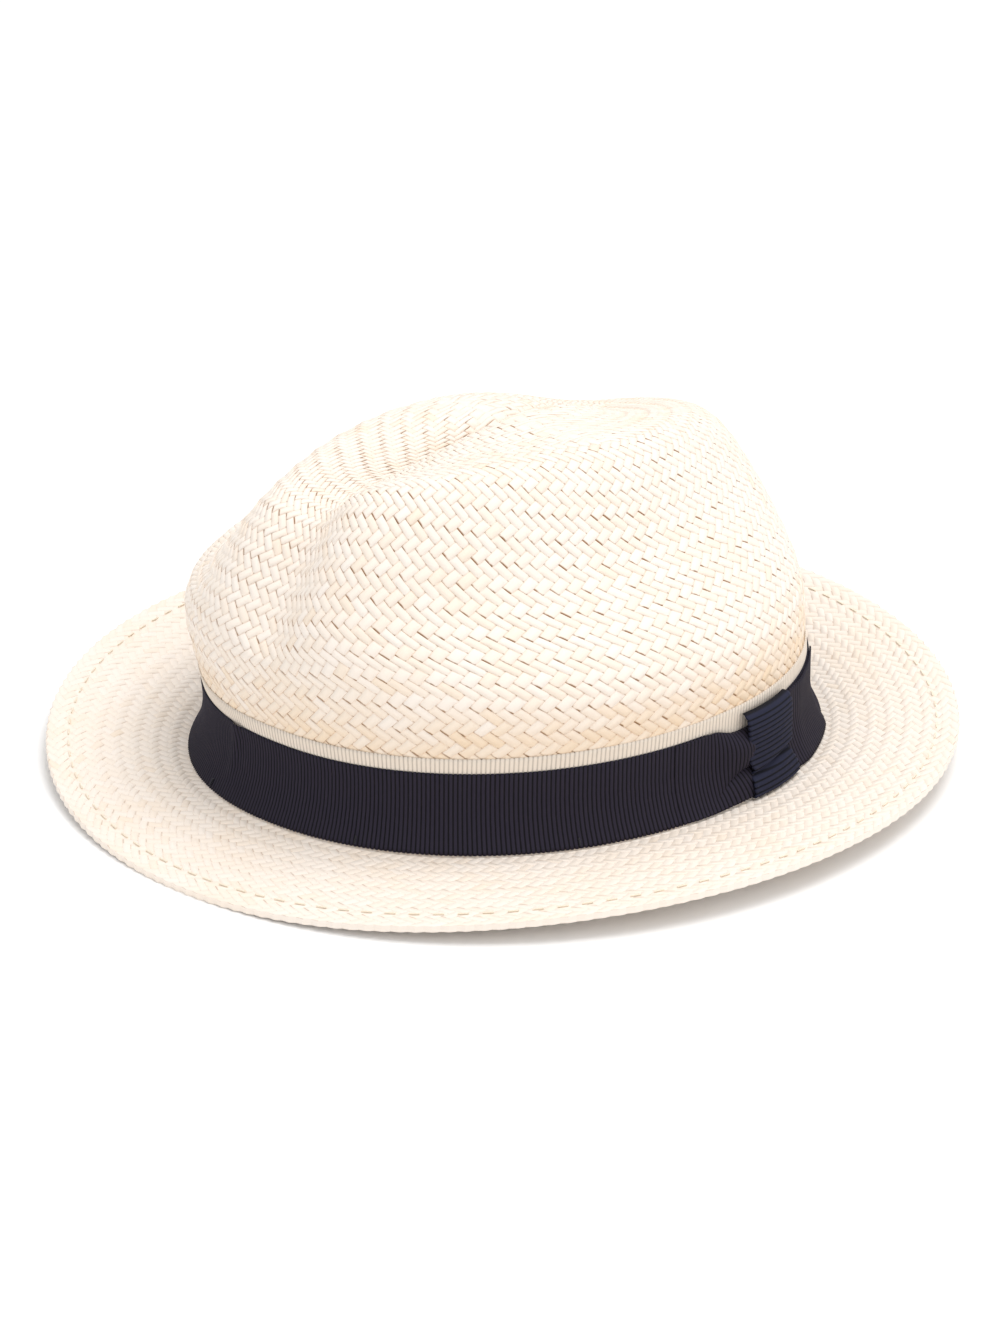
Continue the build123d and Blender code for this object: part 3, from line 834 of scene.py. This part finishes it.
class HAT_OT_ribbons(bpy.types.Operator):
    """Lay the cream ribbon round the crown and the navy hatband over it"""

    bl_idname = "hat.ribbons"
    bl_label = "Ribbons"

    def execute(self, context):
        settings = context.scene.hat_ribbon
        finishes = bpy.data.materials
        ribbon_round(
            "cream_ribbon", GAP, UNDERLAY_WIDTH, 0, settings, finishes["cream_grosgrain"],
            "hatband_underlay")
        ribbon_round(
            "navy_hatband", 2 * GAP + RIBBON, BAND_WIDTH, 3.2 * MM, settings, finishes["navy_grosgrain"],
            "hatband")
        return {"FINISHED"}


class HAT_OT_bow(bpy.types.Operator):
    """Fold the bow: a gathered front end, a smooth rear end and the loop that holds them"""

    bl_idname = "hat.bow"
    bl_label = "Bow"

    def execute(self, context):
        self.front_wing(context.scene.hat_ribbon)
        self.rear_wing(context.scene.hat_ribbon)
        self.keeper(context.scene.hat_ribbon)
        return {"FINISHED"}

    def front_wing(self, settings):
        """Ribbon drawn together under the loop: a deep fold opens towards the loop, with a full
        lobe over it and a lower one under it, and the ribs fan as the edges draw in."""
        rib = 360 / round(OVAL_LENGTH / settings.rib_pitch)
        start, end, loop = -12 * rib, 15 * rib, 6.5
        count = 12 + 15
        u = np.linspace(0, 1, 6 * count + 1)[None]
        v = np.linspace(0, 1, 49)[:, None]
        angle = start + (end - start) * u
        at_loop = (loop - start) / (end - start)
        gather = smooth(0.25, at_loop, u) * (1 - 0.5 * smooth(at_loop, 1, u))
        fold = 0.12 + 0.28 * smooth(0.3, at_loop, u)
        over = np.clip((v - fold) / (1 - fold), 0, 1)
        under = np.clip((fold - v) / fold, 0, 1)
        upper_lobe = 5.4 * over**0.4 * (1 - over**4)
        lower_lobe = 3.4 * under**0.45 * (1 - 0.7 * under**2)
        bulge = gather**1.3 * np.where(v > fold, upper_lobe, lower_lobe) * MM
        top = BAND_WIDTH - 2.9 * MM * smooth(0.4, at_loop, u)
        bottom = 0.8 * MM * gather
        above = BAND_FOOT + bottom + (top - bottom) * v
        lean = 2.4 * gather * (fold - v) * np.where(v < fold, 1.6, 0.5)
        thin = RIBBON * (0.15 + 0.85 * smooth(0, 0.2, u))
        relief = ribs(u * count, settings.rib_relief)
        outward = BOW_BASE + thin + bulge + relief - 0.5 * settings.rib_relief
        outer = wall((angle + lean) / 360, outward, above)
        inner = wall((angle + lean) / 360, BOW_BASE - 0.06 * MM + bulge * 0.9, above)
        piece = cloth_shell(
            "bow_front", outer, inner, False, bpy.data.materials["navy_grosgrain"],
            (BAND_WIDTH, count * settings.rib_pitch))
        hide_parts("bow_front_wing")

    def rear_wing(self, settings):
        """Ribbon that runs back from the loop, with one soft pleat and its foot standing out."""
        start, end = 13.2, 44.0
        run = HALF_WIDTH * math.radians(end - start)
        count = round(run / settings.rib_pitch)
        u = np.linspace(0, 1, 6 * count + 1)[None]
        v = np.linspace(0, 1, 25)[:, None]
        angle = start + (end - start) * u
        pleat = np.exp(-((u - 0.40 - 0.12 * v) / 0.09) ** 2) * 0.35
        foot = smooth(0.15, 0.55, u) * (1 - smooth(0.88, 1.0, u)) * (1 - v) ** 2 * 0.8
        lift = (pleat + foot) * MM
        above = BAND_FOOT + BAND_WIDTH * v
        relief = ribs(u * count, 0.45 * settings.rib_relief)
        outer = wall(angle / 360, BOW_BASE + RIBBON + lift + relief, above)
        inner = wall(angle / 360, BOW_BASE + lift * 0.9, above)
        piece = cloth_shell(
            "bow_rear", outer, inner, False, bpy.data.materials["navy_grosgrain"],
            (BAND_WIDTH, count * settings.rib_pitch))
        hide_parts("bow_rear_wing")

    def keeper(self, settings):
        """Narrow loop round the ribbon's ends. Its ribs run along the hatband, its top and foot
        roll in to the crown, and it is nipped in over the fold."""
        start, end = 6.5, 20.0
        run = HALF_WIDTH * math.radians(end - start)
        pitch = 1.2 * settings.rib_pitch
        count = round(LOOP_HEIGHT / pitch)
        u = np.linspace(0, 1, 33)[None]
        v = np.linspace(0, 1, 8 * count + 1)[:, None]
        nip = np.exp(-((v - 0.30) / 0.10) ** 2)
        relief = ribs(v * count, 1.35 * settings.rib_relief)
        side = relief * np.abs(2 * u - 1) ** 8 * np.sign(2 * u - 1)
        angle = start + (end - start) * u
        angle = angle + nip * (1 - 2 * u) + math.degrees(1 / HALF_WIDTH) * side
        roll = (1 - np.abs(2 * v - 1) ** 6) ** 0.5
        crease = 1.5 * np.exp(-((v - 0.30 - 0.10 * (u - 0.5)) / 0.035) ** 2)
        crown = 0.5 * (1 - (2 * u - 1) ** 2)
        outward = (2.0 + 2.9 * roll + crown - crease * roll) * MM
        above = BAND_FOOT + LOOP_HEIGHT * v
        outer = wall(angle / 360, outward + relief, above)
        inner = wall(angle / 360, outward - RIBBON, above)
        piece = cloth_shell(
            "bow_loop", outer, inner, False, bpy.data.materials["navy_grosgrain_loop"],
            (count * pitch, run))
        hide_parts("bow_keeper")


class HAT_OT_lining(bpy.types.Operator):
    """Fit the sweatband, the tape over its reed and the blank label"""

    bl_idname = "hat.lining"
    bl_label = "Sweatband and label"

    def execute(self, context):
        finishes = bpy.data.materials
        turns = np.arange(480)[None] / 480
        share = np.linspace(0, 1, 17)[:, None]
        above = SWEATBAND_FOOT + SWEATBAND_HEIGHT * share
        ripple = 0.15 * MM * np.sin(TAU * turns * 55) * share
        outward = self.outer_side(above) + ripple
        # Both edges are bound, and the binding stands 0.15 mm proud
        bead = np.exp(-((share - 0.03) / 0.03) ** 2) + np.exp(-((share - 0.97) / 0.03) ** 2)
        inward = outward - SWEATBAND - 0.15 * MM * bead
        piece = cloth_shell(
            "twill_sweatband", wall(turns, outward, above), wall(turns, inward, above), True,
            finishes["sweatband_twill"], (SWEATBAND_HEIGHT, OVAL_LENGTH))
        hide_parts("sweatband")
        self.reed_tape(finishes["cotton_tape"], turns)
        self.label(finishes["satin_label"])
        return {"FINISHED"}

    def outer_side(self, above):
        """How far out the sweatband's outer face stands: by the tape, and leaning in higher up."""
        share = (above - SWEATBAND_FOOT) / SWEATBAND_HEIGHT
        return -STRAW - 2 * GAP - TAPE - flare(above) - SWEATBAND_LEAN * share**2

    def reed_tape(self, finish, turns):
        """Tape that runs down the straw, under the reed and up inside it: a path of three runs
        with its corners rounded by the reed."""
        outer_x = -STRAW - GAP
        inner_x = outer_x - 2 * (TAPE + GAP + REED_RADIUS)
        middle, radius = (outer_x + inner_x) / 2, (outer_x - inner_x) / 2
        turn_low = REED_FOOT - GAP + radius
        bend = np.linspace(0, math.pi, 9)
        across = np.concatenate([[outer_x, outer_x], middle + radius * np.cos(bend), [inner_x]])
        low = turn_low - TAPE - (radius - TAPE) * np.sin(bend)
        up = np.concatenate([[TAPE_HEIGHT, 5 * MM], low, [turn_low]])
        inner_across = np.where(across > middle, across - TAPE, across + TAPE)
        inner_up = up + TAPE * np.concatenate([[0, 0], np.sin(bend), [0]])
        outer = wall(turns, (across - flare(up))[:, None], up[:, None])
        inner = wall(turns, (inner_across - flare(up))[:, None], inner_up[:, None])
        piece = cloth_shell(
            "cotton_reed_tape", inner, outer, True, finish, (TAPE_WIDTH, OVAL_LENGTH))
        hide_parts("reed_tape")

    def label(self, finish):
        """Blank woven label, curved with the sweatband, a little fuller in the middle."""
        low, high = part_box("size_label")
        centre = math.atan2((low.y + high.y) / 2 - OVAL_CENTRE_Y, (low.x + high.x) / 2) / TAU
        u = np.linspace(-1, 1, 15)[None]
        v = np.linspace(0, 1, 9)[:, None]
        above = SWEATBAND_FOOT + LABEL_FOOT + LABEL_HEIGHT * v
        outward = self.outer_side(above) - SWEATBAND - 2 * GAP
        puff = 0.25 * MM * (1 - u**6) * (1 - (2 * v - 1) ** 6)
        turns = centre + u * LABEL_WIDTH / 2 / HALF_LENGTH / TAU
        piece = cloth_shell(
            "blank_label", wall(turns, outward, above), wall(turns, outward - LABEL - puff, above), False,
            finish, (LABEL_HEIGHT, LABEL_WIDTH))
        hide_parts("size_label")


class HAT_OT_threads(bpy.types.Operator):
    """Finish the stitches and the reed that stay as the frame has them"""

    bl_idname = "hat.threads"
    bl_label = "Thread and reed"

    def execute(self, context):
        finishes = {
            "brim_hem_stitches": "cotton_thread_pale",
            "sweatband_stitches": "cotton_thread_pale",
            "sweatband_back_stitches": "cotton_thread_pale",
            "hatband_tacks": "cotton_thread_navy",
            "sweatband_reed": "extruded_polythene",
        }
        for name, finish in finishes.items():
            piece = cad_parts[name]
            piece.data.materials.clear()
            piece.data.materials.append(bpy.data.materials[finish])
        return {"FINISHED"}


class HAT_OT_finishes(bpy.types.Operator):
    """Make the materials"""

    bl_idname = "hat.finishes"
    bl_label = "Materials"

    def execute(self, context):
        scene = context.scene
        straw, ribbon, lining = scene.hat_straw, scene.hat_ribbon, scene.hat_lining
        woven_straw("bleached_paper_straw", straw, gaps=1.0, relief=0.22, warm_shade_over_band=0.42)
        woven_straw("bleached_paper_straw_pressed", straw, gaps=0.42, relief=0.15, warm_shade_over_band=0.0)
        # The third number is how much of its colour each ribbon keeps in its painted valley shade
        grosgrain("navy_grosgrain", tuple(ribbon.navy), 0.10, False, ribbon.rib_pitch)
        grosgrain("navy_grosgrain_loop", tuple(ribbon.navy_loop), 0.2, True, 1.2 * ribbon.rib_pitch)
        grosgrain("cream_grosgrain", tuple(ribbon.cream), 0.72, False, ribbon.rib_pitch)
        woven_cloth("sweatband_twill", tuple(lining.sweatband), linear("#0d0d12"), 1.0 * MM)
        woven_cloth("cotton_tape", tuple(lining.tape), linear("#a89c86"), 0.7 * MM, slant=0.0)
        woven_cloth(
            "satin_label", tuple(lining.label), linear("#cfc9b8"), 0.5 * MM, roughness=0.45, slant=0.3)
        twisted_thread("cotton_thread_pale", linear("#f8efe0"), linear("#ead9be"))
        twisted_thread("cotton_thread_navy", linear("#20202c"), linear("#0b0b10"))
        moulded_reed()
        return {"FINISHED"}


class HAT_OT_stage(bpy.types.Operator):
    """Set the pale floor, the soft lights and the camera"""

    bl_idname = "hat.stage"
    bl_label = "Floor, lights and camera"

    def execute(self, context):
        self.floor(context)
        self.light("overhead", (0.3, 0.2, 1.6), 1.0, 13)
        self.light("fill", (1.4, -0.6, 0.9), 1.0, 1.5)
        world = bpy.data.worlds.new("soft_white_room")
        world.use_nodes = True
        world.node_tree.nodes["Background"].inputs["Color"].default_value = (1, 1, 1, 1)
        world.node_tree.nodes["Background"].inputs["Strength"].default_value = 0.82
        context.scene.world = world
        context.scene.view_settings.view_transform = "Standard"
        self.camera(context)
        return {"FINISHED"}

    def floor(self, context):
        """A wide sheet of white paper."""
        mesh = bpy.data.meshes.new("floor")
        size = 30
        corners = [(-size, -size, 0), (size, -size, 0), (size, size, 0), (-size, size, 0)]
        mesh.from_pydata(corners, [], [(0, 1, 2, 3)])
        floor = bpy.data.objects.new("floor", mesh)
        context.scene.collection.objects.link(floor)
        shader = new_finish("white_paper_roll", roughness=0.9, specular=0.1)[1]
        shader.inputs["Base Color"].default_value = linear("#fefefe")
        mesh.materials.append(bpy.data.materials["white_paper_roll"])

    def light(self, name, place, size, power):
        """A square soft box that faces the hat."""
        lamp = bpy.data.lights.new(name, "AREA")
        lamp.size, lamp.energy = size, power
        holder = bpy.data.objects.new(name, lamp)
        aim = Vector((0, 0, 0.05)) - Vector(place)
        holder.matrix_world = Matrix.Translation(place) @ aim.to_track_quat("-Z", "Y").to_matrix().to_4x4()
        bpy.context.scene.collection.objects.link(holder)

    def camera(self, context):
        """A long lens from the front and the wearer's left, above the hat."""
        azimuth, elevation, roll = math.radians(49.15), math.radians(24.15), math.radians(0.5)
        distance = 1.499
        target = Vector((0, 0.8 * MM, 23.9 * MM))
        level_share = math.cos(elevation)
        back = Vector(
            (math.cos(azimuth) * level_share, -math.sin(azimuth) * level_share, math.sin(elevation)))
        level = Vector((0, 0, 1)).cross(back).normalized()
        upright = back.cross(level)
        right = level * math.cos(roll) + upright * math.sin(roll)
        up = back.cross(right)
        lens = bpy.data.cameras.new("camera")
        lens.sensor_fit, lens.sensor_width, lens.lens = "HORIZONTAL", 36, 173.4
        camera = bpy.data.objects.new("camera", lens)
        turned = Matrix((right, up, back)).transposed().to_4x4()
        camera.matrix_world = Matrix.Translation(target + back * distance) @ turned
        context.scene.collection.objects.link(camera)
        context.scene.camera = camera


OPERATORS = (
    HAT_OT_finishes, HAT_OT_crown, HAT_OT_brim, HAT_OT_ribbons, HAT_OT_bow, HAT_OT_lining, HAT_OT_threads,
    HAT_OT_stage,
)


class HAT_PT_panel(bpy.types.Panel):
    """Lists the hat's steps and sizes"""

    bl_idname = "HAT_PT_panel"
    bl_label = "Straw fedora"
    bl_space_type = "VIEW_3D"
    bl_region_type = "UI"
    bl_category = "Hat"

    def draw(self, context):
        for operator in OPERATORS:
            self.layout.operator(operator.bl_idname)
        for settings in (context.scene.hat_straw, context.scene.hat_ribbon, context.scene.hat_lining):
            for name in settings.bl_rna.properties.keys():
                if name not in ("rna_type", "name"):
                    self.layout.prop(settings, name)


CLASSES = (StrawSettings, RibbonSettings, LiningSettings, *OPERATORS, HAT_PT_panel)


def register():
    for cls in CLASSES:
        bpy.utils.register_class(cls)
    bpy.types.Scene.hat_straw = PointerProperty(type=StrawSettings)
    bpy.types.Scene.hat_ribbon = PointerProperty(type=RibbonSettings)
    bpy.types.Scene.hat_lining = PointerProperty(type=LiningSettings)


def unregister():
    del bpy.types.Scene.hat_straw
    del bpy.types.Scene.hat_ribbon
    del bpy.types.Scene.hat_lining
    for cls in reversed(CLASSES):
        bpy.utils.unregister_class(cls)


def main():
    register()
    for operator in OPERATORS:
        getattr(bpy.ops.hat, operator.bl_idname.split(".")[1])()


if __name__ == "__main__":
    main()
